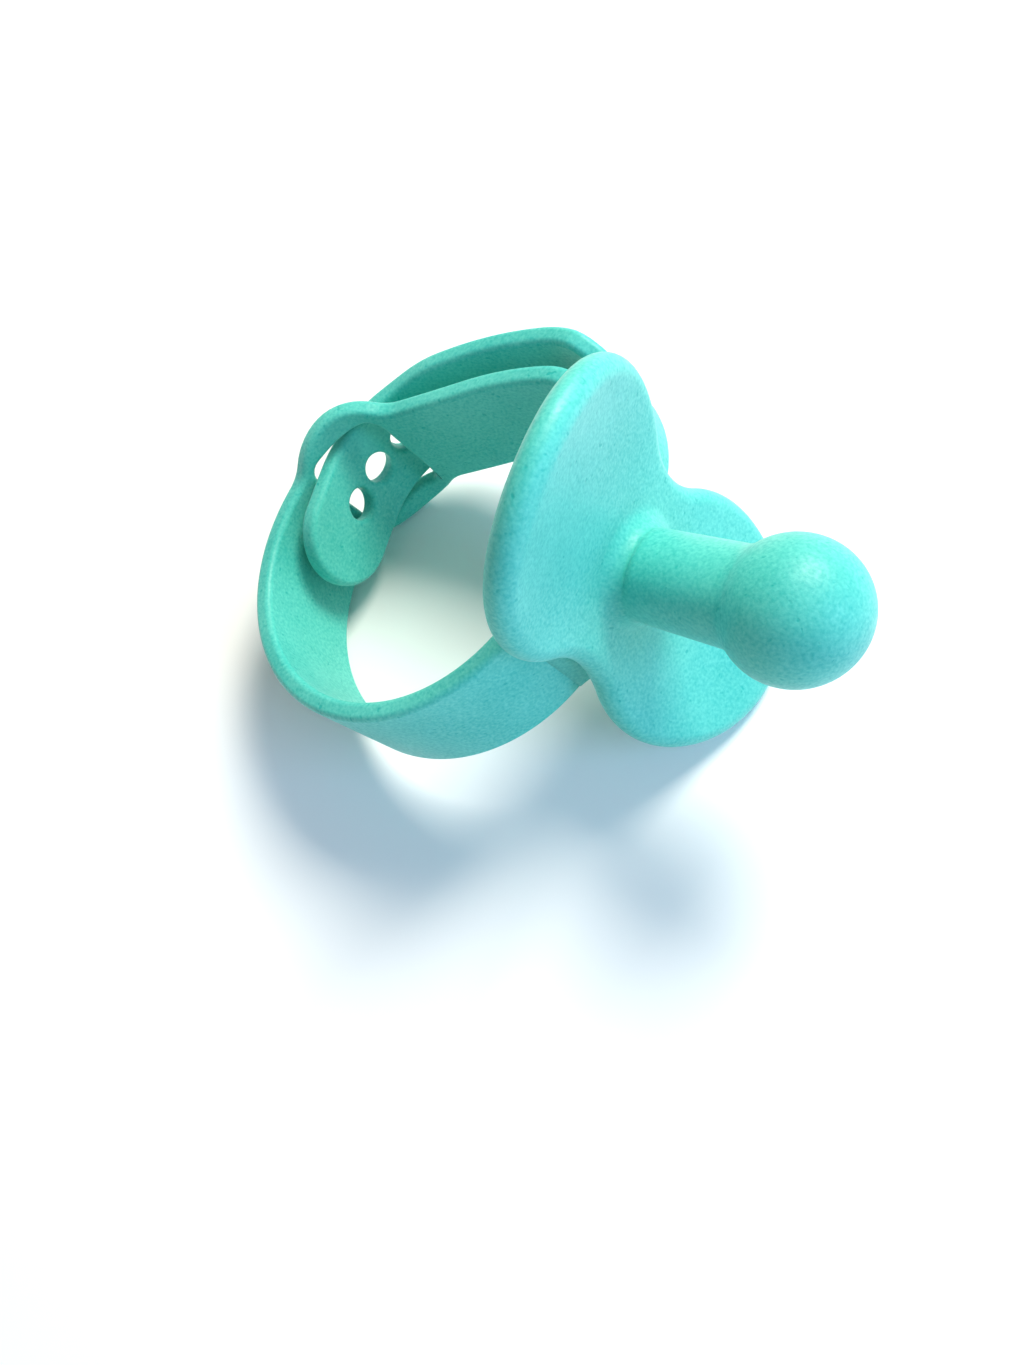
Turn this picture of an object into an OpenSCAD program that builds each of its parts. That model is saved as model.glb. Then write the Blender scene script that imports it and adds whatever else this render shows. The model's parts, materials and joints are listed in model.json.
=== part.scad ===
// Baby pacifier with a butterfly shield, a round soft teat and a pin-and-tuck wrist strap.
// Everything is drawn with the teat along +X, the shield's wings along Y and its waist along Z,
// and then laid on its side, so that one wing, the eye and the strap's edge rest on z = 0.

/* [Teat] */
// Diameter of the round bulb
bulb_d = 16; // [14:0.5:18]
// Distance from the middle of the shield to the middle of the bulb
bulb_x = 21.5; // [20:0.5:24]
// Diameter of the stem where it leaves the shield
stem_d = 10.8; // [9.5:0.1:11]
// Diameter of the stem where it meets the bulb
stem_end_d = 11.4; // [10:0.1:12]
// Radius of the hollow between the stem and the bulb
stem_fillet_r = 3; // [2:0.5:4]
// Radius of the ball at the root of the teat, on which it bends
root_ball_r = 4.6; // [4.2:0.1:4.8]
// Radius of the neck between the root ball and the stem
neck_r = 3.8; // [3.2:0.1:3.9]
// Distance from the middle of the shield to the start of the full stem
stem_start = 3.4; // [3.2:0.1:4.5]

/* [Shield] */
// Thickness of the shield
shield_t = 3.6; // [3:0.1:4]
// Radius of each round wing
wing_r = 15.9; // [14:0.1:17]
// Distance from the middle of the shield to the middle of a wing
wing_offset = 14.3; // [13:0.1:16]
// Height of the upper waist above the middle
waist_top = 12.1; // [11:0.1:13]
// Depth of the lower waist below the middle
waist_bottom = 12; // [11:0.1:13]
// Radius to which the shield is bowed towards the mouth
bow_r = 65; // [60:1:100]

/* [Strap] */
// Width of both strap arms
strap_w = 16.4; // [15:0.1:17]
// Width of the hole arm where it passes through the slot, and of its tail
tail_w = 14.8; // [14:0.1:15]
// Thickness of both strap arms
strap_t = 2.4; // [2.2:0.1:2.6]
// Radius of the round outline of the eye
eye_r = 11.5; // [11.4:0.1:12.5]
// Side play of the hole arm in the eye's slot
slot_play = 0.5; // [0.4:0.1:0.8]
// Radius of the slot's corners
slot_corner_r = 1.2; // [0.8:0.1:1.5]

/* [Fastening] */
// Radius of the adjusting holes
hole_r = 2.2; // [2:0.1:2.3]
// Distance between two adjusting holes, along the strap
hole_pitch = 6.1; // [5.9:0.1:6.2]
// Number of adjusting holes, the one in the tail included
hole_count = 9; // [9]
// Radius of the stud's shank
stud_r = 1.2; // [1:0.1:1.3]
// Radius of the stud's outer head
stud_head_r = 1.5; // [1.3:0.1:1.6]
// Radius of the stud's flat foot
stud_foot_r = 2.8; // [2.4:0.1:3.2]

/* [Hidden] */
$fn = 96;

silicone = "mediumturquoise";
silicone_shade = "turquoise";

// The strap is bent from flat: a start point with a heading, then a list of [length, turn].
slot_start = [-4.7, -11, 255.3];
slot_bends = [[75.8, -192.6], [7, -41.2], [14.4, 2.4], [11.6, -15.3], [9.4, -41]];
hole_start = [-2.6, 10.5, 97.4];
hole_bends = [[14, 52], [10, 39.8], [18, 20.1], [10.4, 29.7], [9.6, 44], [13.3, 12]];

// Places along the slot arm
eye_from = 67.9;
slot_from = 69.6;
slot_to = 83.2;
eye_to = 86.3;
stud_at = 114.2;
slot_end = bends_length(slot_bends);

// Places along the hole arm
arm_from = 2.5;
first_hole = 14.7;
narrow_from = 42.2;
tail_cut = first_hole + (hole_count - 1.5) * hole_pitch;
hole_end = bends_length(hole_bends);

body_gap = 0.12;
socket_play = 0.1;
stud_play = 0.05;
stud_height = 6;
stud_head_t = 0.8;
stud_foot_t = 0.8;
stud_foot_gap = 0.4;
band_step = 1.5;
arc_step = 6;
pad_back = -5.6;
over = 1;

// The rest on the table, lying on one side: the roll about the teat's axis and then the pitch at
// which a wing, the eye and the strap's edge touch the table, and the shift that puts them at z = 0
// and the middle of the whole object's box over the origin
rest_roll = -81.31;
rest_pitch = -20.17;
rest_shift = [10.78, 1.99, 26.36];

function bends_length(bends, i = 0) = i >= len(bends) ? 0 : bends[i][0] + bends_length(bends, i + 1);

// One step of the bend list: p is [x, z, heading]
function bend_step(p, d, turn) =
    let (half = turn / 2)
    let (chord = abs(turn) < 0.01 ? d : d * sin(half) / (half * PI / 180))
    [p[0] + chord * cos(p[2] + half), p[1] + chord * sin(p[2] + half), p[2] + turn];

// The place and heading after a distance s along the bends
function along(p, bends, s, i = 0) =
    i >= len(bends) || s <= 0 ? p :
    let (d = min(s, bends[i][0]))
    along(bend_step(p, d, bends[i][1] * d / bends[i][0]), bends, s - bends[i][0], i + 1);

// A point beside the middle line, to its left by side
function beside(p, side) = [p[0] - side * sin(p[2]), p[1] + side * cos(p[2])];

// The outline of a strap's edge between two places along its bends
function ribbon(start, bends, from, to) =
    let (n = ceil((to - from) / band_step))
    let (poses = [for (i = [0:n]) along(start, bends, from + (to - from) * i / n)])
    concat(
        [for (p = poses) beside(p, strap_t / 2)],
        [for (i = [n:-1:0]) beside(poses[i], -strap_t / 2)]
    );

function slot_pose(s) = along(slot_start, slot_bends, s);
function hole_pose(s) = along(hole_start, hole_bends, s);

// Turns children so that their X runs along the strap and their Z is the strap's left normal
module at_pose(p) {
    translate([p[0], 0, p[1]]) rotate([0, -p[2], 0]) children();
}

// Extrudes an outline drawn in the X-Z plane across the strap
module across(width) {
    rotate([90, 0, 0]) linear_extrude(height = width, center = true) children();
}

module band(start, bends, from, to, width) {
    across(width) polygon(ribbon(start, bends, from, to));
}

// What is left of a strap end once it is cut to a half circle
module round_end(p, length, width) {
    at_pose(p) {
        cylinder(h = 6 * strap_t, r = width / 2, center = true);
        translate([-length, -width / 2 - over, -3 * strap_t])
            cube([length, width + 2 * over, 6 * strap_t]);
    }
}

module lay_down() {
    translate(rest_shift) rotate([rest_roll, rest_pitch, 0]) children();
}

module ball_socket() {
    rotate([0, 90, 0]) sphere(r = root_ball_r + socket_play);
}

module bowed_cylinder(r) {
    translate([bow_r, 0, 0]) cylinder(h = 80, r = r, center = true, $fn = 180);
}

// Radius of the hollow that meets both round wings smoothly at a waist
function waist_r(waist) =
    (wing_offset * wing_offset + waist * waist - wing_r * wing_r) / (2 * (wing_r - waist));

// Points of an arc about middle, from one angle to another
function arc(middle, r, from, to) =
    let (n = ceil(abs(to - from) / arc_step))
    [for (i = [0:n]) let (a = from + (to - from) * i / n) middle + r * [cos(a), sin(a)]];

// The right-hand half of a waist and a wing, walked from the lower waist to the upper one
function wing_outline() =
    let (top_r = waist_r(waist_top), bottom_r = waist_r(waist_bottom))
    let (top_y = waist_top + top_r, bottom_y = waist_bottom + bottom_r)
    let (top_a = atan2(top_y, wing_offset), bottom_a = atan2(bottom_y, wing_offset))
    concat(
        arc([0, -bottom_y], bottom_r, 90, bottom_a),
        arc([wing_offset, 0], wing_r, bottom_a - 180 + arc_step, 180 - top_a - arc_step),
        arc([0, top_y], top_r, -top_a, -90)
    );

module shield_outline() {
    right = wing_outline();
    polygon(concat(right, [for (i = [len(right) - 2:-1:1]) [-right[i][0], right[i][1]]]));
}

// The teat's outline from its axis, walked from the root ball to the tip of the bulb
function teat_outline() =
    let (bulb_r = bulb_d / 2, ring_r = stem_end_d / 2 + stem_fillet_r)
    let (back = sqrt(pow(bulb_r + stem_fillet_r, 2) - ring_r * ring_r), touch_a = atan2(-back, ring_r))
    concat(
        arc([0, 0], root_ball_r, -90, acos(neck_r / root_ball_r)),
        [[neck_r, stem_start], [stem_d / 2, stem_start]],
        arc([ring_r, bulb_x - back], stem_fillet_r, 180, 180 + touch_a),
        arc([0, bulb_x], bulb_r, touch_a + arc_step, 90)
    );

module teat() {
    color(silicone) lay_down() rotate([0, 90, 0]) rotate_extrude() polygon(teat_outline());
}

module shield() {
    color(silicone) lay_down() difference() {
        intersection() {
            rotate([90, 0, 90]) linear_extrude(height = 40, center = true) shield_outline();
            bowed_cylinder(bow_r + shield_t / 2);
        }
        bowed_cylinder(bow_r - shield_t / 2);
        ball_socket();
    }
}

// The pad behind the shield, from which both strap arms grow
module strap_root() {
    slot_foot = slot_pose(0);
    arm_foot = hole_pose(arm_from - body_gap);
    color(silicone_shade) lay_down() difference() {
        across(strap_w) polygon([
            beside(slot_foot, strap_t / 2), beside(slot_foot, -strap_t / 2),
            [pad_back, 0], [pad_back + over, hole_start[1] - 2],
            beside(arm_foot, strap_t / 2), beside(arm_foot, -strap_t / 2),
            [0, hole_start[1]], [0, slot_start[1]]
        ]);
        bowed_cylinder(bow_r + shield_t / 2);
        ball_socket();
    }
}

module slot_arm() {
    color(silicone_shade) lay_down() band(slot_start, slot_bends, 0, eye_from, strap_w);
}

// The widened ring of the slot arm, with the slot through which the tail is tucked
module eye() {
    first = slot_pose(eye_from);
    last = slot_pose(eye_to);
    tilt = atan2(last[1] - first[1], last[0] - first[0]);
    middle = [(first[0] + last[0]) / 2, (first[1] + last[1]) / 2, tilt];
    low = slot_pose(slot_from);
    high = slot_pose(slot_to);
    low_x = (low[0] - middle[0]) * cos(tilt) + (low[1] - middle[1]) * sin(tilt);
    high_x = (high[0] - middle[0]) * cos(tilt) + (high[1] - middle[1]) * sin(tilt);
    color(silicone_shade) lay_down() difference() {
        intersection() {
            band(slot_start, slot_bends, eye_from, eye_to, 2 * eye_r + 2 * over);
            at_pose(middle) cylinder(h = 20, r = eye_r, center = true);
        }
        at_pose(middle) linear_extrude(height = 20, center = true)
            round_slot(low_x, high_x, tail_w / 2 + slot_play);
    }
}

module round_slot(x0, x1, half_w) {
    translate([x0, slot_corner_r - half_w]) square([x1 - x0, 2 * (half_w - slot_corner_r)]);
    translate([x0 + slot_corner_r, -half_w]) square([x1 - x0 - 2 * slot_corner_r, 2 * half_w]);
    for (x = [x0 + slot_corner_r, x1 - slot_corner_r], side = [-1, 1])
        translate([x, side * (half_w - slot_corner_r)]) circle(r = slot_corner_r);
}

module stud_tongue() {
    color(silicone_shade) lay_down() difference() {
        intersection() {
            band(slot_start, slot_bends, eye_to, slot_end, strap_w);
            round_end(slot_pose(slot_end - strap_w / 2), slot_end, strap_w);
        }
        at_pose(slot_pose(stud_at)) cylinder(h = 4 * strap_t, r = stud_r + stud_play, center = true);
    }
}

// The stud stands through the tongue, with its foot inside the loop and its head outside
module stud() {
    foot_z = -strap_t / 2 - stud_foot_gap - stud_foot_t;
    color(silicone_shade) lay_down() at_pose(slot_pose(stud_at)) {
        translate([0, 0, foot_z]) cylinder(h = stud_foot_t, r = stud_foot_r);
        translate([0, 0, foot_z + stud_foot_t / 2]) cylinder(h = stud_height, r = stud_r);
        translate([0, 0, foot_z + stud_foot_t / 2 + stud_height])
            cylinder(h = stud_head_t, r = stud_head_r);
    }
}

module adjusting_holes(from, to) {
    for (i = [0:hole_count - 1])
        if (first_hole + i * hole_pitch > from && first_hole + i * hole_pitch < to)
            at_pose(hole_pose(first_hole + i * hole_pitch))
                cylinder(h = 3 * strap_t, r = hole_r, center = true);
}

module hole_arm() {
    color(silicone) lay_down() difference() {
        union() {
            band(hole_start, hole_bends, arm_from, narrow_from, strap_w);
            band(hole_start, hole_bends, narrow_from, tail_cut, tail_w);
        }
        adjusting_holes(arm_from, tail_cut);
    }
}

module tail() {
    color(silicone) lay_down() difference() {
        intersection() {
            band(hole_start, hole_bends, tail_cut + body_gap, hole_end, tail_w);
            round_end(hole_pose(hole_end - tail_w / 2), hole_end, tail_w);
        }
        adjusting_holes(tail_cut, hole_end);
    }
}

teat();
shield();
strap_root();
slot_arm();
eye();
stud_tongue();
stud();
hole_arm();
tail();
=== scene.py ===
# %% [markdown]
# # A soft pacifier with a pin-and-tuck wrist strap
#
# The whole object is one soft silicone moulding in a mint green: a butterfly shield with a round teat
# in front of it and a wide flat strap behind it. The strap closes in a loop. One arm carries a ring
# with a slot, the other arm is full of adjusting holes, and its rounded tail is tucked through the slot.
#
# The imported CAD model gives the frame: where the parts are and how they move. This script gives the
# looks. It starts by loading that frame, and nothing in it is moved or resized afterwards.

# %% Load the frame
import json
import math

import bmesh
import bpy
from mathutils import Matrix, Quaternion, Vector


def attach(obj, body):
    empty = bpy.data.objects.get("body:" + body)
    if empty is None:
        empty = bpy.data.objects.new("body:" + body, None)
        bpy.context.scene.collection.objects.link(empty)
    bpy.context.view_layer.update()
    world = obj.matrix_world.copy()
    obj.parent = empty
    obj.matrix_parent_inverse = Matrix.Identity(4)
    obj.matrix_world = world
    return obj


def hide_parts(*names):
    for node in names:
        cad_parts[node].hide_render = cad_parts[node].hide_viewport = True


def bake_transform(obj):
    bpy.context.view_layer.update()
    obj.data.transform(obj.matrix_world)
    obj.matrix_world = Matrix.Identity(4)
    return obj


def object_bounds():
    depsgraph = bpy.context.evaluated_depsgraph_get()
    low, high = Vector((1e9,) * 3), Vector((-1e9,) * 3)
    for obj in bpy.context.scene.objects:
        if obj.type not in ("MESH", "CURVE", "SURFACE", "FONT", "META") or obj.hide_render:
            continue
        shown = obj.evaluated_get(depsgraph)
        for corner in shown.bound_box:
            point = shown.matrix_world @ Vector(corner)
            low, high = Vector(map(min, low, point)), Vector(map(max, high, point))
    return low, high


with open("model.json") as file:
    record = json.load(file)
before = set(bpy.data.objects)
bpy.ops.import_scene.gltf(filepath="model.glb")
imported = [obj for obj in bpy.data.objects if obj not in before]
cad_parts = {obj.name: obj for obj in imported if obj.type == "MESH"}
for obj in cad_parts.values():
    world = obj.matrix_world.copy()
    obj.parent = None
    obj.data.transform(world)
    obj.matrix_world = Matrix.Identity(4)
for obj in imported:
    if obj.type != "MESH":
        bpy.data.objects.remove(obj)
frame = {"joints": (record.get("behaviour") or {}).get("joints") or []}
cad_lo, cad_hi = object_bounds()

scene = bpy.context.scene
print("CAD box in mm:", [round(1000 * side, 2) for side in cad_hi - cad_lo])

# %% [markdown]
# ## One frame to draw in, and one step into the real one
#
# It is easiest to draw the object the way a person would hold it: the teat points along +X, the wings
# of the shield lie along Y, and the strap loops in the X-Z plane. On the table the object lies on its
# side, so it is rolled about the teat and then pitched a little. The joint that bends the teat sits in
# the middle of the shield and turns about the wings' axis, so its place and axis give the whole step.
# Everything is drawn in millimetres, because filling and bevelling are steadier on numbers near 1.

# %% From the drawing to the table
MM = 0.001
joints = {joint["name"]: joint for joint in frame["joints"]}
shield_middle = Vector(joints["teat_bend"]["pos_m"])
wing_axis = Vector(joints["teat_bend"]["axis"])
roll = -math.acos(wing_axis.y)
pitch = math.atan2(-wing_axis.x, -wing_axis.z)
turned = Matrix.Rotation(pitch, 4, "Y") @ Matrix.Rotation(roll, 4, "X")
onto_table = Matrix.Translation(shield_middle) @ turned @ Matrix.Scale(MM, 4)


def placed(x, y, z):
    """A drawn point, in millimetres, as a point in the frame, in metres."""
    return onto_table @ Vector((x, y, z))


print("rolled by", round(math.degrees(roll), 2), "and pitched by", round(math.degrees(pitch), 2), "degrees")

# %% [markdown]
# ## Camera, floor and light
#
# A product picture needs a quiet stage. The floor is a wide flat disc whose far edge curls up like a
# studio sweep, so that it passes softly into a backdrop, whichever side the camera looks from. A
# soft lamp stands above and beyond the object and gives the shape, a cool one stands in front of the
# teat and keeps the front of the shield clean, and a pale world fills what is left.

# %% The camera, given in the drawing frame
CAMERA_STAND = (68.24, -97.6, -30.4)
CAMERA_AZIMUTH = math.radians(37.87)
CAMERA_ELEVATION = math.radians(-6.39)
CAMERA_TILT = math.radians(24.53)

towards_camera = Vector((
    math.sin(CAMERA_AZIMUTH) * math.cos(CAMERA_ELEVATION),
    -math.cos(CAMERA_AZIMUTH) * math.cos(CAMERA_ELEVATION),
    math.sin(CAMERA_ELEVATION),
))
camera = bpy.data.objects.new("camera", bpy.data.cameras.new("camera"))
camera.data.sensor_width = 36
camera.data.lens = 28.29
camera.data.clip_start = 0.005
camera.location = placed(*CAMERA_STAND)
camera.rotation_mode = "QUATERNION"
level_look = (-towards_camera).to_track_quat("-Z", "Y")
camera.rotation_quaternion = turned.to_quaternion() @ level_look @ Quaternion((0, 0, 1), CAMERA_TILT)
scene.collection.objects.link(camera)
scene.camera = camera
scene.view_settings.view_transform = "Standard"

# %% Sockets that can be added and multiplied
class Wire:
    """A node's output that can stand in a sum: each operator adds the Math node that works it out."""

    def __init__(self, tree, socket):
        self.tree, self.socket = tree, socket

    def node(self, kind, settings=None, out=0, **inputs):
        return add_node(self.tree, kind, settings, out, **inputs)

    def maths(self, operation, first, second):
        return self.node("ShaderNodeMath", {"operation": operation}, _0=first, _1=second)

    def __add__(self, other):
        return self.maths("ADD", self, other)

    def __radd__(self, other):
        return self.maths("ADD", other, self)

    def __sub__(self, other):
        return self.maths("SUBTRACT", self, other)

    def __rsub__(self, other):
        return self.maths("SUBTRACT", other, self)

    def __mul__(self, other):
        return self.maths("MULTIPLY", self, other)

    def __rmul__(self, other):
        return self.maths("MULTIPLY", other, self)


def connect(tree, value, target):
    """Links a Wire to a socket, or sets the socket to a plain value."""
    if isinstance(value, Wire):
        tree.links.new(value.socket, target)
    else:
        target.default_value = value


def add_node(tree, kind, settings=None, out=0, **inputs):
    """Adds a node: settings first, then inputs by name, with _ for a space, or by place, as in _0."""
    node = tree.nodes.new(kind)
    for key, value in (settings or {}).items():
        setattr(node, key, value)
    for key, value in inputs.items():
        place = int(key[1:]) if key[0] == "_" else key.replace("_", " ")
        for each in value if isinstance(value, list) else [value]:
            connect(tree, each, node.inputs[place])
    return Wire(tree, node.outputs[out])


# %% [markdown]
# ## The silicone
#
# Moulded silicone is matte but not dry: the surface has a very fine grain from the blasted mould, and a
# broad soft sheen on top of it. Light also goes a little way in, which is why the shaded side stays a
# rich green instead of going grey. Three things vary over the surface, all from noise on the object's
# own coordinates: the colour drifts slowly and is mottled by the grain, with a darker tone in the pores,
# the grain lifts and lowers the roughness, and a bump carries the grain itself. Everything that is the
# same all over is set on the shader's own sockets.

# %% The silicone finish
def silicone(name, colour, deep_colour, drift_size, grain_size):
    material = bpy.data.materials.new(name)
    material.use_nodes = True
    tree = material.node_tree
    shader = tree.nodes["Principled BSDF"]
    place = add_node(tree, "ShaderNodeTexCoord", out=3)
    drift = place.node("ShaderNodeTexNoise", Vector=place, Scale=1 / drift_size, Detail=2.0)
    grain = place.node("ShaderNodeTexNoise", Vector=place, Scale=1 / grain_size, Detail=3.0)
    pores = place.node("ShaderNodeTexNoise", Vector=place, Scale=0.45 / grain_size, Detail=1.0)
    pore_mask = place.node("ShaderNodeMapRange", Value=pores, From_Min=0.69, From_Max=0.78)
    depth = (drift - 0.5) * 0.9 + (grain - 0.5) * 1.6 + pore_mask * 0.6 + 0.4
    tone = add_node(tree, "ShaderNodeMix", {"data_type": "RGBA"}, 2, _0=depth, _6=colour, _7=deep_colour)
    connect(tree, tone, shader.inputs["Base Color"])
    connect(tree, 0.47 + (grain - 0.5) * 0.3 + (drift - 0.5) * 0.1, shader.inputs["Roughness"])
    height = grain + pore_mask * -0.6
    bump = place.node("ShaderNodeBump", Strength=0.5, Distance=0.00006, Height=height)
    connect(tree, bump, shader.inputs["Normal"])
    shader.inputs["Subsurface Weight"].default_value = 0.22
    shader.inputs["Subsurface Radius"].default_value = (0.4, 1.0, 0.8)
    shader.inputs["Subsurface Scale"].default_value = 0.0016
    shader.inputs["Sheen Weight"].default_value = 0.14
    shader.inputs["Sheen Roughness"].default_value = 0.4
    shader.inputs["IOR"].default_value = 1.41
    return material


MINT = (0.125, 0.63, 0.54, 1)
DEEP_MINT = (0.02, 0.44, 0.385, 1)
mint_silicone = silicone("mint_silicone", MINT, DEEP_MINT, 0.012, 0.0004)

# %% The floor, the lamps and the world
FLOOR_FLAT = 0.7
FLOOR_SWEEP = 0.5
FLOOR_TURNS = 96


def studio_floor():
    """A flat disc that curls up at its edge, as rings of points about the middle."""
    flat = [(FLOOR_FLAT * i / 6, 0) for i in range(1, 7)]
    sweep = [
        (FLOOR_FLAT + FLOOR_SWEEP * math.sin(a), FLOOR_SWEEP * (1 - math.cos(a)))
        for a in (math.radians(7.5 * i) for i in range(1, 13))
    ]
    mesh = bmesh.new()
    directions = [math.tau * k / FLOOR_TURNS for k in range(FLOOR_TURNS)]
    rings = [
        [mesh.verts.new((r * math.cos(a), r * math.sin(a), z)) for a in directions]
        for r, z in flat + sweep
    ]
    mesh.faces.new(rings[0])
    for inner, outer in zip(rings, rings[1:]):
        for k in range(FLOOR_TURNS):
            after = (k + 1) % FLOOR_TURNS
            mesh.faces.new((inner[k], outer[k], outer[after], inner[after]))
    data = bpy.data.meshes.new("studio_floor")
    mesh.to_mesh(data)
    data.shade_smooth()
    return bpy.data.objects.new("studio_floor", data)


floor = studio_floor()
scene.collection.objects.link(floor)
paint = bpy.data.materials.new("floor_paint")
paint.use_nodes = True
paint.node_tree.nodes["Principled BSDF"].inputs["Base Color"].default_value = (0.95, 0.95, 0.95, 1)
paint.node_tree.nodes["Principled BSDF"].inputs["Roughness"].default_value = 0.9
floor.data.materials.append(paint)


def soft_lamp(name, towards, distance, size, power, colour):
    """A square lamp that looks at the middle of the object from a direction."""
    lamp = bpy.data.objects.new(name, bpy.data.lights.new(name, "AREA"))
    lamp.data.size = size
    lamp.data.energy = power
    lamp.data.color = colour
    direction = Vector(towards).normalized()
    lamp.location = (cad_lo + cad_hi) / 2 + direction * distance
    lamp.rotation_mode = "QUATERNION"
    lamp.rotation_quaternion = (-direction).to_track_quat("-Z", "Y")
    scene.collection.objects.link(lamp)


soft_lamp("key_above", (0.06, 0.65, 0.76), 0.5, 0.2, 3.3, (1.0, 0.95, 0.84))
soft_lamp("cool_front", (0.86, 0.09, 0.48), 0.5, 0.3, 1.6, (0.32, 0.63, 1.0))
world = bpy.data.worlds.new("pale_room")
world.use_nodes = True
world.node_tree.nodes["Background"].inputs["Color"].default_value = (0.93, 0.97, 1.0, 1)
world.node_tree.nodes["Background"].inputs["Strength"].default_value = 0.36
scene.world = world

# %% [markdown]
# ## Shield and teat: one skin made of rings
#
# On the real object the teat grows out of the shield in one smooth skin, with a hollow where they meet
# and another where the stem meets the bulb. Booleans would leave creases there, and a voxel remesh would
# soften everything alike. So the skin is lofted as a stack of rings about the teat's axis. The rings are
# round on the bulb and the stem, and spread to the butterfly outline on the shield. They then go round
# the rim and close behind it.
#
# The outline is two round wings joined by a hollow at each waist that touches both. From the middle
# each direction meets it once, so a ring has one point for each direction.

# %% The butterfly outline
WING_R = 15.9
WING_OFFSET = 14.3
WAIST = {1: 12.1, -1: 12.0}
SHIELD_T = 3.6
BOW_R = 65.0
TURNS = 288


def hollow(side):
    """The circle that hollows a waist: its distance from the middle, and its radius."""
    waist = WAIST[side]
    radius = (WING_OFFSET**2 + waist**2 - WING_R**2) / (2 * (WING_R - waist))
    return waist + radius, radius


def outline_point(angle):
    """The outline's point in a direction from the middle, and the outward direction there."""
    way = Vector((math.cos(angle), math.sin(angle)))
    side = 1 if way.y >= 0 else -1
    distance, radius = hollow(side)
    middle = Vector((0, side * distance))
    wing = Vector((math.copysign(WING_OFFSET, way.x), 0))
    touch = wing + (middle - wing) * WING_R / (WING_R + radius)
    if abs(way.x) * abs(touch.y) < abs(way.y) * abs(touch.x):
        along = way.dot(middle)
        point = way * (along - math.sqrt(along**2 - distance**2 + radius**2))
        return point, (middle - point).normalized()
    along = way.dot(wing)
    point = way * (along + math.sqrt(along**2 - WING_OFFSET**2 + WING_R**2))
    return point, (point - wing).normalized()


def on_plate(point, lift):
    """A point of the bowed plate: its place in the outline's plane, and how far it stands off the middle."""
    lean = point.x / BOW_R
    x = BOW_R - math.sqrt(BOW_R**2 - point.x**2) + lift * math.sqrt(1 - lean**2)
    return Vector((x, point.x - lift * lean, point.y))


print("upper waist hollow, distance and radius:", [round(v, 2) for v in hollow(1)])

# %% The rings, from the tip of the bulb to the back of the shield
BULB_R = 8.0
BULB_X = 21.5
STEM_R = 5.4
STEM_END_R = 5.7
NECK_HOLLOW_R = 3.0
FOOT_HOLLOW_R = 2.4


def steps(count, first=0.0, last=1.0):
    """Even shares from first to last, both ends included."""
    return [first + (last - first) * i / count for i in range(count + 1)]


def round_rings():
    """Distances along and from the teat's axis, from the bulb's tip to the start of the foot hollow."""
    ring_r = STEM_END_R + NECK_HOLLOW_R
    back = math.sqrt((BULB_R + NECK_HOLLOW_R) ** 2 - ring_r**2)
    touch = math.atan2(back, ring_r)
    rings = [
        (BULB_X + BULB_R * math.sin(a), BULB_R * math.cos(a))
        for a in steps(44, math.radians(88), -touch)
    ]
    rings += [
        (BULB_X - back + NECK_HOLLOW_R * math.sin(a), ring_r - NECK_HOLLOW_R * math.cos(a))
        for a in steps(9, touch, 0)[1:]
    ]
    foot_x = SHIELD_T / 2 + FOOT_HOLLOW_R
    rings += [
        (x, STEM_R + (STEM_END_R - STEM_R) * (x - foot_x) / (BULB_X - back - foot_x))
        for x in steps(16, BULB_X - back, foot_x)[1:]
    ]
    return rings


def shield_rings(angle):
    """One direction's points down the foot hollow, over the front, round the rim and over the back."""
    way = Vector((math.cos(angle), math.sin(angle)))
    edge, outward = outline_point(angle)
    rim_r = SHIELD_T / 2
    rim = edge - outward * rim_r
    hollow_edge = way * (STEM_R + FOOT_HOLLOW_R)
    points = []
    for a in steps(10, 0, math.pi / 2)[1:]:
        distance = STEM_R + FOOT_HOLLOW_R * (1 - math.cos(a))
        points.append(on_plate(way * distance, rim_r + FOOT_HOLLOW_R * (1 - math.sin(a))))
    points += [on_plate(hollow_edge.lerp(rim, w), rim_r) for w in steps(14)[1:]]
    points += [
        on_plate(rim + outward * rim_r * math.sin(a), rim_r * math.cos(a))
        for a in steps(16, 0, math.pi)[1:]
    ]
    points += [on_plate(rim * w, -rim_r) for w in steps(14, 1, 0.04)[1:]]
    return points


def loft(columns, name):
    """A closed skin from columns of points, one for each direction, with a pole at each end."""
    mesh = bmesh.new()
    grid = [[mesh.verts.new(point) for point in column] for column in columns]
    for left, right in zip(grid, grid[1:] + grid[:1]):
        for i in range(len(left) - 1):
            mesh.faces.new((left[i], right[i], right[i + 1], left[i + 1]))
    for end in (0, -1):
        ring = [column[end] for column in grid]
        pole = mesh.verts.new(sum((v.co for v in ring), Vector()) / len(ring))
        for a, b in zip(ring, ring[1:] + ring[:1]):
            mesh.faces.new((pole, a, b))
    return finished(mesh, name)


def finished(mesh, name):
    """A drawn mesh as a piece: outward faces, smooth shading, the silicone, and its place on the table."""
    bmesh.ops.recalc_face_normals(mesh, faces=mesh.faces)
    data = bpy.data.meshes.new(name)
    mesh.to_mesh(data)
    mesh.free()
    data.shade_smooth()
    data.transform(onto_table)
    data.materials.append(mint_silicone)
    piece = bpy.data.objects.new(name, data)
    scene.collection.objects.link(piece)
    print(name, len(data.polygons), "faces")
    return piece


teat_outline = round_rings()
columns = [
    [Vector((x, r * math.cos(a), r * math.sin(a))) for x, r in teat_outline] + shield_rings(a)
    for a in (math.tau * k / TURNS for k in range(TURNS))
]
shield_and_teat = loft(columns, "shield_and_teat")

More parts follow.
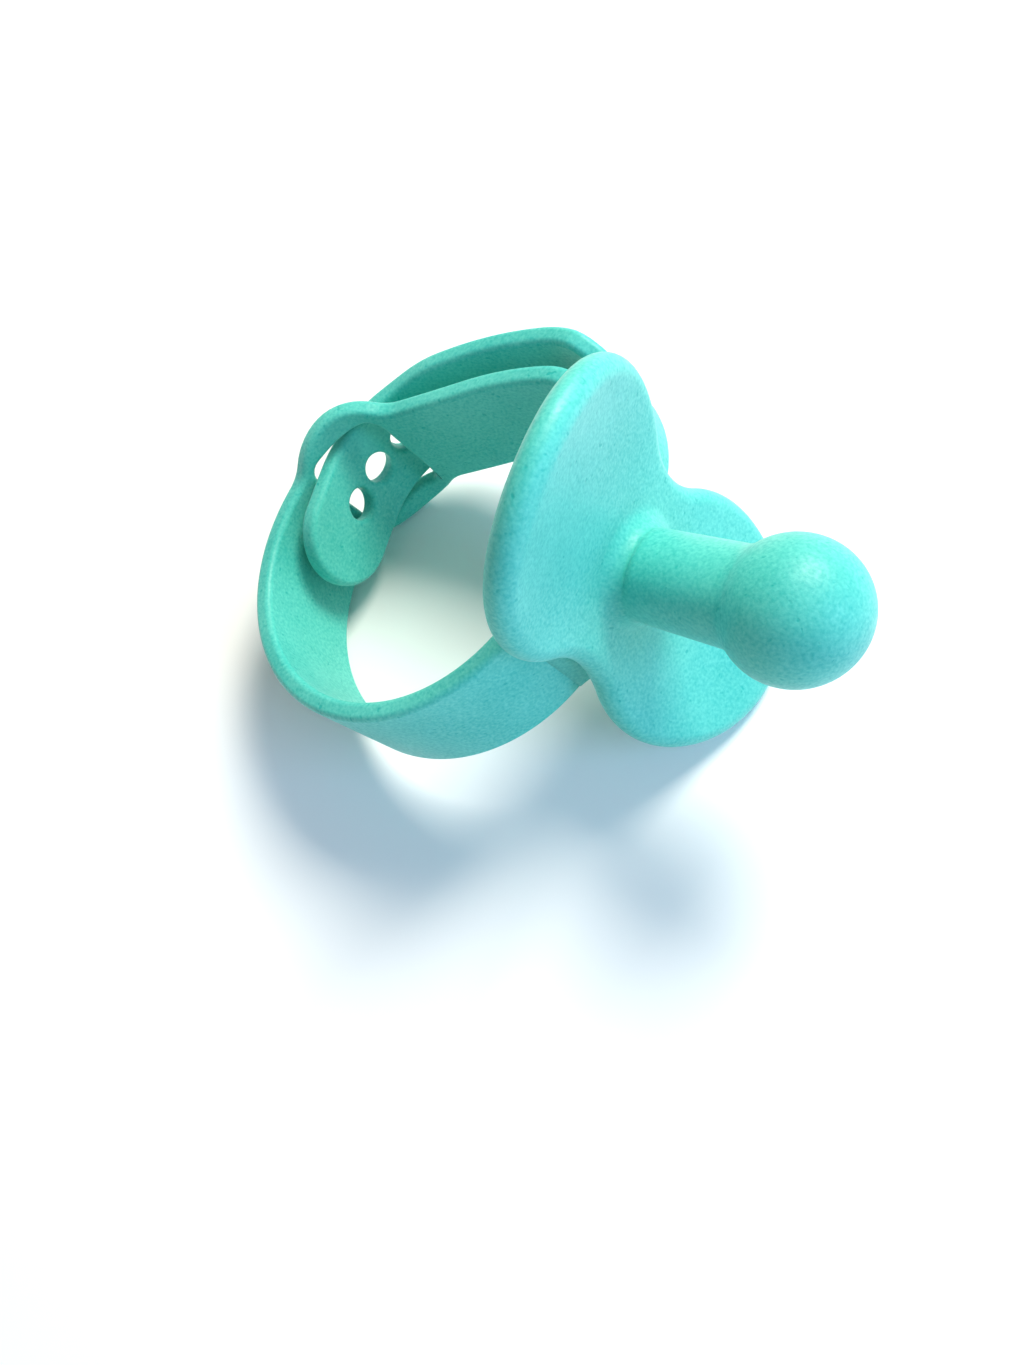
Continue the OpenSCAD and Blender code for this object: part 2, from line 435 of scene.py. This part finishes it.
# %% [markdown]
# ## How the strap is bent
#
# A strap is simplest to make as a tailor would: cut it flat, then bend it. Its bends are a start, with a
# heading, and a list of lengths, each with the angle that it turns by. The two lists are the ones that
# the CAD model holds, so the looks and the moving parts follow one line. Only the last two bends of the
# hole arm differ: they are straighter here, as the real tail hangs. The CAD tail is bent further into
# the loop, because it moves as a stiff part and needs more room to leave the slot.

# %% The two bend lists
STRAP_W = 16.4
STRAP_T = 2.5
SLOT_START = (-4.7, -11, 255.3)
SLOT_BENDS = [(75.8, -192.6), (7, -41.2), (14.4, 2.4), (11.6, -15.3), (9.4, -41)]
HOLE_START = (-2.6, 10.5, 97.4)
HOLE_BENDS = [(14, 52), (10, 39.8), (18, 20.1), (10.4, 29.7), (9.6, 38.9), (13.3, 2)]


def along(start, bends, distance):
    """The place and heading after a distance along the bends."""
    x, z, heading = start
    for length, turn in bends:
        run = min(distance, length)
        half = math.radians(turn * run / length / 2)
        chord = run if abs(half) < 1e-6 else run * math.sin(half) / half
        middle_heading = math.radians(heading) + half
        x, z = x + chord * math.cos(middle_heading), z + chord * math.sin(middle_heading)
        heading += math.degrees(2 * half)
        distance -= run
        if distance <= 0:
            break
    return x, z, heading


def full_length(bends):
    return sum(length for length, turn in bends)


def path_curve(name, start, bends):
    """The bends as a curve that the nodes can sample."""
    count = round(full_length(bends) / 0.5)
    spots = [along(start, bends, full_length(bends) * i / count) for i in range(count + 1)]
    return outline_curve(name, [(x, 0, z) for x, z, heading in spots], closed=False)


def outline_curve(name, points, closed=True):
    """A curve of straight steps through the points."""
    data = bpy.data.curves.new(name, "CURVE")
    data.dimensions = "3D"
    spline = data.splines.new("POLY")
    spline.points.add(len(points) - 1)
    for spot, (x, y, z) in zip(spline.points, points):
        spot.co = (x, y, z, 1)
    spline.use_cyclic_u = closed
    curve = bpy.data.objects.new(name, data)
    scene.collection.objects.link(curve)
    return curve


slot_path = path_curve("slot_path", SLOT_START, SLOT_BENDS)
hole_path = path_curve("hole_path", HOLE_START, HOLE_BENDS)
print("slot arm", full_length(SLOT_BENDS), "mm, hole arm", full_length(HOLE_BENDS), "mm")

# %% [markdown]
# ## Cutting a strap flat, with Geometry Nodes
#
# The adjusting holes repeat at one pitch, which is what Geometry Nodes do best. The tree takes the
# outline and any cut-out as curves, sets a row of circles on a line of points, fills what is inside the
# outline and outside the holes, and thickens it. The count, the pitch and the radius are inputs with
# names, so the same tree cuts both arms.

# %% The tree that cuts a strap
def new_tree(name, inputs):
    """An empty geometry tree with its named inputs, which come back as Wires."""
    tree = bpy.data.node_groups.new(name, "GeometryNodeTree")
    tree.interface.new_socket("Geometry", in_out="OUTPUT", socket_type="NodeSocketGeometry")
    tree.interface.new_socket("Geometry", in_out="INPUT", socket_type="NodeSocketGeometry")
    for label, kind in inputs.items():
        tree.interface.new_socket(label, in_out="INPUT", socket_type="NodeSocket" + kind)
    entry = tree.nodes.new("NodeGroupInput")
    return tree, {socket.name: Wire(tree, socket) for socket in entry.outputs if socket.name}


def close_tree(tree, geometry, material):
    """Ends a tree in real geometry with its material."""
    real = add_node(tree, "GeometryNodeRealizeInstances", Geometry=geometry)
    shown = add_node(tree, "GeometryNodeSetMaterial", Geometry=real, Material=material)
    exit_node = tree.nodes.new("NodeGroupOutput")
    connect(tree, shown, exit_node.inputs[0])


def cutting_tree():
    tree, given = new_tree("cut_a_strap", {
        "Outline": "Object", "Cut out": "Object", "First hole": "Float", "Hole pitch": "Float",
        "Holes": "Int", "Hole radius": "Float", "Thickness": "Float", "Finish": "Material",
    })
    edges = [
        add_node(tree, "GeometryNodeObjectInfo", out="Geometry", Object=given[label])
        for label in ("Outline", "Cut out")
    ]
    first = add_node(tree, "ShaderNodeCombineXYZ", X=given["First hole"])
    pitch = add_node(tree, "ShaderNodeCombineXYZ", X=given["Hole pitch"])
    row = add_node(tree, "GeometryNodeMeshLine", Count=given["Holes"], Start_Location=first, Offset=pitch)
    circle = add_node(tree, "GeometryNodeCurvePrimitiveCircle", Resolution=48, Radius=given["Hole radius"])
    holes = add_node(tree, "GeometryNodeInstanceOnPoints", Points=row, Instance=circle)
    real_holes = add_node(tree, "GeometryNodeRealizeInstances", Geometry=holes)
    drawing = add_node(tree, "GeometryNodeJoinGeometry", Geometry=[*edges, real_holes])
    flat = add_node(tree, "GeometryNodeFillCurve", {"mode": "NGONS"}, Curve=drawing)
    sunk = add_node(tree, "ShaderNodeCombineXYZ", Z=given["Thickness"] * -0.5)
    under = add_node(tree, "GeometryNodeSetPosition", Geometry=flat, Offset=sunk)
    raised = add_node(tree, "ShaderNodeCombineXYZ", Z=given["Thickness"])
    walls = add_node(
        tree, "GeometryNodeExtrudeMesh", Mesh=under, Offset=raised, Offset_Scale=1.0, Individual=False)
    floor_face = add_node(tree, "GeometryNodeFlipFaces", Mesh=under)
    both = add_node(tree, "GeometryNodeJoinGeometry", Geometry=[walls, floor_face])
    closed = add_node(tree, "GeometryNodeMergeByDistance", Geometry=both, Distance=0.001)
    close_tree(tree, closed, given["Finish"])
    return tree


cut_a_strap = cutting_tree()

# %% [markdown]
# ## Bending it along its path
#
# A second tree bends the flat strap. Each point's X is the distance along the path, its Y stays across
# the strap and its Z is the height off the middle. The tree samples the path's place and direction at
# that distance, and the sideways direction is the cross product of the direction and the Y axis, so it
# never flips as a curve's own normal can.

# %% The tree that bends a strap
def bending_tree():
    tree, given = new_tree("bend_a_strap", {"Path": "Object", "Finish": "Material"})
    path = add_node(tree, "GeometryNodeObjectInfo", out="Geometry", Object=given["Path"])
    here = add_node(tree, "GeometryNodeInputPosition")
    parts = add_node(tree, "ShaderNodeSeparateXYZ", Vector=here)
    across, height = Wire(tree, parts.socket.node.outputs[1]), Wire(tree, parts.socket.node.outputs[2])
    sample = add_node(
        tree, "GeometryNodeSampleCurve", {"mode": "LENGTH", "use_all_curves": True}, "Position",
        Curves=path, Length=parts,
    )
    heading = Wire(tree, sample.socket.node.outputs["Tangent"])
    y_axis = add_node(tree, "ShaderNodeCombineXYZ", Y=1.0)
    sideways = add_node(tree, "ShaderNodeVectorMath", {"operation": "CROSS_PRODUCT"}, _0=heading, _1=y_axis)
    lifted = add_node(tree, "ShaderNodeVectorMath", {"operation": "SCALE"}, _0=sideways, Scale=height)
    aside = add_node(tree, "ShaderNodeCombineXYZ", Y=across)
    off_path = add_node(tree, "ShaderNodeVectorMath", {"operation": "ADD"}, _0=lifted, _1=aside)
    spot = add_node(tree, "ShaderNodeVectorMath", {"operation": "ADD"}, _0=sample, _1=off_path)
    bent = add_node(tree, "GeometryNodeSetPosition", Geometry=given["Geometry"], Position=spot)
    close_tree(tree, bent, given["Finish"])
    return tree


bend_a_strap = bending_tree()


def run_tree(piece, tree, **inputs):
    """Gives a piece a tree with these inputs, and sets its result down as a plain mesh."""
    modifier = piece.modifiers.new(tree.name, "NODES")
    modifier.node_group = tree
    names = {item.name: item.identifier for item in tree.interface.items_tree if item.in_out == "INPUT"}
    for label, value in inputs.items():
        modifier[names[label.replace("_", " ")]] = value
    return settled(piece)


def settled(piece):
    """Swaps a piece's mesh for what its modifiers make of it, and removes them."""
    bpy.context.view_layer.update()
    result = bpy.data.meshes.new_from_object(piece.evaluated_get(bpy.context.evaluated_depsgraph_get()))
    piece.modifiers.clear()
    piece.data = result
    return piece


# %% [markdown]
# ## The outlines
#
# The slot arm is a plain strip that swells into a round eye and ends in a half circle. Where the strip
# meets the eye there is a hollow that touches both. The hole arm is narrow at its root, behind the
# shield, and again at its tail, which has to pass through the slot. It ends in a half circle.

# %% Outlines of both arms
EYE_MIDDLE = 77.2
EYE_R = 11.5
EYE_HOLLOW_R = 5.0
SLOT_FROM = 70.4
SLOT_TO = 83.2
SLOT_HALF_W = 7.9
SLOT_CORNER_R = 2.0
ARM_WIDTHS = [(11, 4.1), (20, 8.2), (40, 8.2), (49, 7.4)]


def arc(x, y, radius, first, last, step=5):
    """Points of an arc about a middle, between two angles in degrees."""
    count = math.ceil(abs(last - first) / step)
    return [(x + radius * math.cos(a), y + radius * math.sin(a), 0)
            for a in (math.radians(first + (last - first) * i / count) for i in range(count + 1))]


def both_sides(upper):
    """A closed outline from its upper half, walked from left to right."""
    return upper + [(x, -y, z) for x, y, z in reversed(upper) if abs(y) > 1e-6]


def slot_arm_outline(start):
    half_w = STRAP_W / 2
    reach = math.sqrt((EYE_R + EYE_HOLLOW_R) ** 2 - (half_w + EYE_HOLLOW_R) ** 2)
    touch = math.degrees(math.atan2(half_w + EYE_HOLLOW_R, reach))
    tip = full_length(SLOT_BENDS) - half_w
    hollow_y = half_w + EYE_HOLLOW_R
    upper = [(start, half_w, 0)]
    upper += arc(EYE_MIDDLE - reach, hollow_y, EYE_HOLLOW_R, -90, -touch)
    upper += arc(EYE_MIDDLE, 0, EYE_R, 180 - touch, touch)[1:]
    upper += arc(EYE_MIDDLE + reach, hollow_y, EYE_HOLLOW_R, touch - 180, -90)[1:]
    upper += arc(tip, 0, half_w, 90, 0)
    return both_sides(upper)


def slot_outline():
    left, right = SLOT_FROM + SLOT_CORNER_R, SLOT_TO - SLOT_CORNER_R
    top = SLOT_HALF_W - SLOT_CORNER_R
    upper = arc(left, top, SLOT_CORNER_R, 180, 90, 15) + arc(right, top, SLOT_CORNER_R, 90, 0, 15)
    return both_sides(upper)


def half_width(s):
    """The hole arm's half width at a distance: it eases from one width on the list to the next."""
    for (from_s, from_w), (to_s, to_w) in zip(ARM_WIDTHS, ARM_WIDTHS[1:]):
        if from_s < s < to_s:
            share = (s - from_s) / (to_s - from_s)
            return from_w + (to_w - from_w) * share * share * (3 - 2 * share)
    return ARM_WIDTHS[0][1] if s <= ARM_WIDTHS[0][0] else ARM_WIDTHS[-1][1]


def hole_arm_outline(start):
    tail_half_w = ARM_WIDTHS[-1][1]
    tip = full_length(HOLE_BENDS) - tail_half_w
    sides = [(s, half_width(s), 0) for s in steps(60, start, tip - 1)]
    return both_sides(sides + arc(tip, 0, tail_half_w, 90, 0))


# %% Cutting, rounding and slicing the flat straps
EDGE_R = 0.8
SLICE = 0.8


def flat_strap(name, **cuts):
    """A strap cut flat, with rounded edges."""
    piece = bpy.data.objects.new(name, bpy.data.meshes.new(name))
    scene.collection.objects.link(piece)
    run_tree(piece, cut_a_strap, Thickness=STRAP_T, Finish=mint_silicone, **cuts)
    rounding = piece.modifiers.new("rounding", "BEVEL")
    rounding.width = EDGE_R
    rounding.segments = 5
    rounding.limit_method = "ANGLE"
    rounding.angle_limit = math.radians(50)
    rounding.use_clamp_overlap = False
    return settled(piece)


def part_of_strap(flat, name, first, last):
    """The stretch of a flat strap between two distances, sliced across so that it can bend."""
    mesh = bmesh.new()
    mesh.from_mesh(flat.data)
    for place, beyond in ((first, -1), (last, 1)):
        if place is not None:
            everything = mesh.verts[:] + mesh.edges[:] + mesh.faces[:]
            cut = bmesh.ops.bisect_plane(
                mesh, geom=everything, plane_co=(place, 0, 0), plane_no=(beyond, 0, 0), clear_outer=True)
            rim = [e for e in cut["geom_cut"] if isinstance(e, bmesh.types.BMEdge)]
            bmesh.ops.edgeloop_fill(mesh, edges=rim)
            for edge in rim:
                edge.smooth = False
    spots = [v.co.x for v in mesh.verts]
    for i in range(math.ceil(min(spots) / SLICE), math.ceil(max(spots) / SLICE)):
        everything = mesh.verts[:] + mesh.edges[:] + mesh.faces[:]
        bmesh.ops.bisect_plane(
            mesh, geom=everything, plane_co=(i * SLICE, 0, 0), plane_no=(1, 0, 0), dist=0.01)
    data = bpy.data.meshes.new(name)
    mesh.to_mesh(data)
    mesh.free()
    piece = bpy.data.objects.new(name, data)
    scene.collection.objects.link(piece)
    return piece


def bent_strap(piece, path):
    """Bends a flat piece along its path, evens its shading and sets it on the table."""
    run_tree(piece, bend_a_strap, Path=path, Finish=mint_silicone)
    piece.data.shade_smooth()
    evening = piece.modifiers.new("evening", "WEIGHTED_NORMAL")
    evening.keep_sharp = True
    settled(piece)
    piece.data.transform(onto_table)
    print(piece.name, len(piece.data.polygons), "faces")
    return piece


STUD_AT = 114.2
STUD_R = 1.2
slot_blank = flat_strap(
    "slot_blank", Outline=outline_curve("slot_edge", slot_arm_outline(-1)),
    Cut_out=outline_curve("slot_hole", slot_outline()),
    First_hole=STUD_AT, Holes=1, Hole_radius=STUD_R)
slot_strap = bent_strap(part_of_strap(slot_blank, "slot_strap", 0, None), slot_path)

# %% [markdown]
# ## The hole arm and its tail
#
# The hole arm turns at its root and the tail turns again inside the loop, so the strap is two pieces,
# both cut from one blank. The cut is where the strap passes through the slot, where nobody sees it.

# %% The hole arm and the tail
FIRST_HOLE = 14.7
HOLE_PITCH = 6.1
HOLE_COUNT = 9
HOLE_R = 2.2
TAIL_FROM = 52.0
hole_blank = flat_strap(
    "hole_blank", Outline=outline_curve("hole_edge", hole_arm_outline(-1)),
    First_hole=FIRST_HOLE, Hole_pitch=HOLE_PITCH, Holes=HOLE_COUNT, Hole_radius=HOLE_R)
hole_strap = bent_strap(part_of_strap(hole_blank, "hole_strap", 0, TAIL_FROM), hole_path)
tail = bent_strap(part_of_strap(hole_blank, "strap_tail", TAIL_FROM, None), hole_path)

# %% [markdown]
# ## The root behind the shield, and the stud
#
# Both arms grow out of a pad on the shield's back. Seen from the side its outline is the straps' own
# inner faces carried on, so it is drawn in that view and pulled across the strap's width.

# %% The root pad
def beside(spot, side):
    x, z, heading = spot
    return x - side * math.sin(math.radians(heading)), z + side * math.cos(math.radians(heading))


def root_outline():
    half_t = STRAP_T / 2 - 0.02
    slot_feet = [along(SLOT_START, SLOT_BENDS, s) for s in steps(3, 1.8, 0)]
    hole_feet = [along(HOLE_START, HOLE_BENDS, s) for s in steps(3, 0, 1.5)]
    inner = [beside(spot, -half_t) for spot in slot_feet]
    inner += [(-5.9, -7.0), (-5.9, -2.0), (-5.6, 3.0), (-4.7, 7.4)]
    inner += [beside(spot, half_t) for spot in hole_feet]
    front = [beside(hole_feet[-1], -half_t), (-0.6, 10.5), (-0.6, -9.8), (-1.8, -10.4), (-2.7, -11.0)]
    return inner + front + [beside(slot_feet[0], half_t)]


def root_pad():
    mesh = bmesh.new()
    face = mesh.faces.new([mesh.verts.new((x, -STRAP_W / 2, z)) for x, z in root_outline()])
    pulled = bmesh.ops.extrude_face_region(mesh, geom=[face])
    moved = [v for v in pulled["geom"] if isinstance(v, bmesh.types.BMVert)]
    bmesh.ops.translate(mesh, verts=moved, vec=(0, STRAP_W, 0))
    bmesh.ops.recalc_face_normals(mesh, faces=mesh.faces)
    sides = [e for e in mesh.edges if abs(e.verts[0].co.y - e.verts[1].co.y) < 0.01]
    bmesh.ops.bevel(
        mesh, geom=sides, offset=EDGE_R, segments=5, affect="EDGES", profile=0.5, clamp_overlap=True)
    return finished(mesh, "strap_root_pad")


root = root_pad()

# %% The stud
STUD_PROFILE = [
    (0, -2.0), (1.6, -2.0), (2.3, -1.95), (2.65, -1.8), (2.8, -1.55), (2.75, -1.3), (2.4, -1.15),
    (1.2, -1.1), (1.2, 3.75), (1.25, 3.9), (1.5, 4.0), (1.65, 4.15), (1.68, 4.35), (1.5, 4.6),
    (1.0, 4.85), (0.4, 4.95), (0, 4.97),
]


def stud():
    mesh = bmesh.new()
    line = [mesh.verts.new((r, 0, z)) for r, z in STUD_PROFILE]
    edges = [mesh.edges.new(pair) for pair in zip(line, line[1:])]
    bmesh.ops.spin(mesh, geom=line + edges, cent=(0, 0, 0), axis=(0, 0, 1), angle=math.tau, steps=40)
    bmesh.ops.remove_doubles(mesh, verts=mesh.verts, dist=0.001)
    x, z, heading = along(SLOT_START, SLOT_BENDS, STUD_AT)
    stand = Matrix.Translation((x, 0, z)) @ Matrix.Rotation(-math.radians(heading), 4, "Y")
    bmesh.ops.transform(mesh, matrix=stand, verts=mesh.verts)
    return finished(mesh, "strap_stud")


strap_stud = stud()

# %% [markdown]
# ## What rides on what
#
# Soft silicone doesn't hinge, it bends. Here the slot strap, the root pad and the stud ride on the guard
# body, while the shield and teat, the hole strap and the tail stay where they are drawn, on no body.
# The CAD parts that these pieces replace are hidden.

# %% Bodies and replaced CAD parts
for helper in ("slot_path", "hole_path", "slot_edge", "slot_hole", "hole_edge", "slot_blank", "hole_blank"):
    bpy.data.objects.remove(bpy.data.objects[helper])

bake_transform(shield_and_teat)
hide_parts("shield", "teat")
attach(slot_strap, "guard")
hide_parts("slot_arm", "eye", "stud_tongue")
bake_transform(hole_strap)
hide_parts("hole_arm")
tail_root, tail_tip = along(HOLE_START, HOLE_BENDS, 57), along(HOLE_START, HOLE_BENDS, 65)
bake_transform(tail)
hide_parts("tail")
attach(root, "guard")
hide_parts("strap_root")
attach(strap_stud, "guard")
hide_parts("stud")
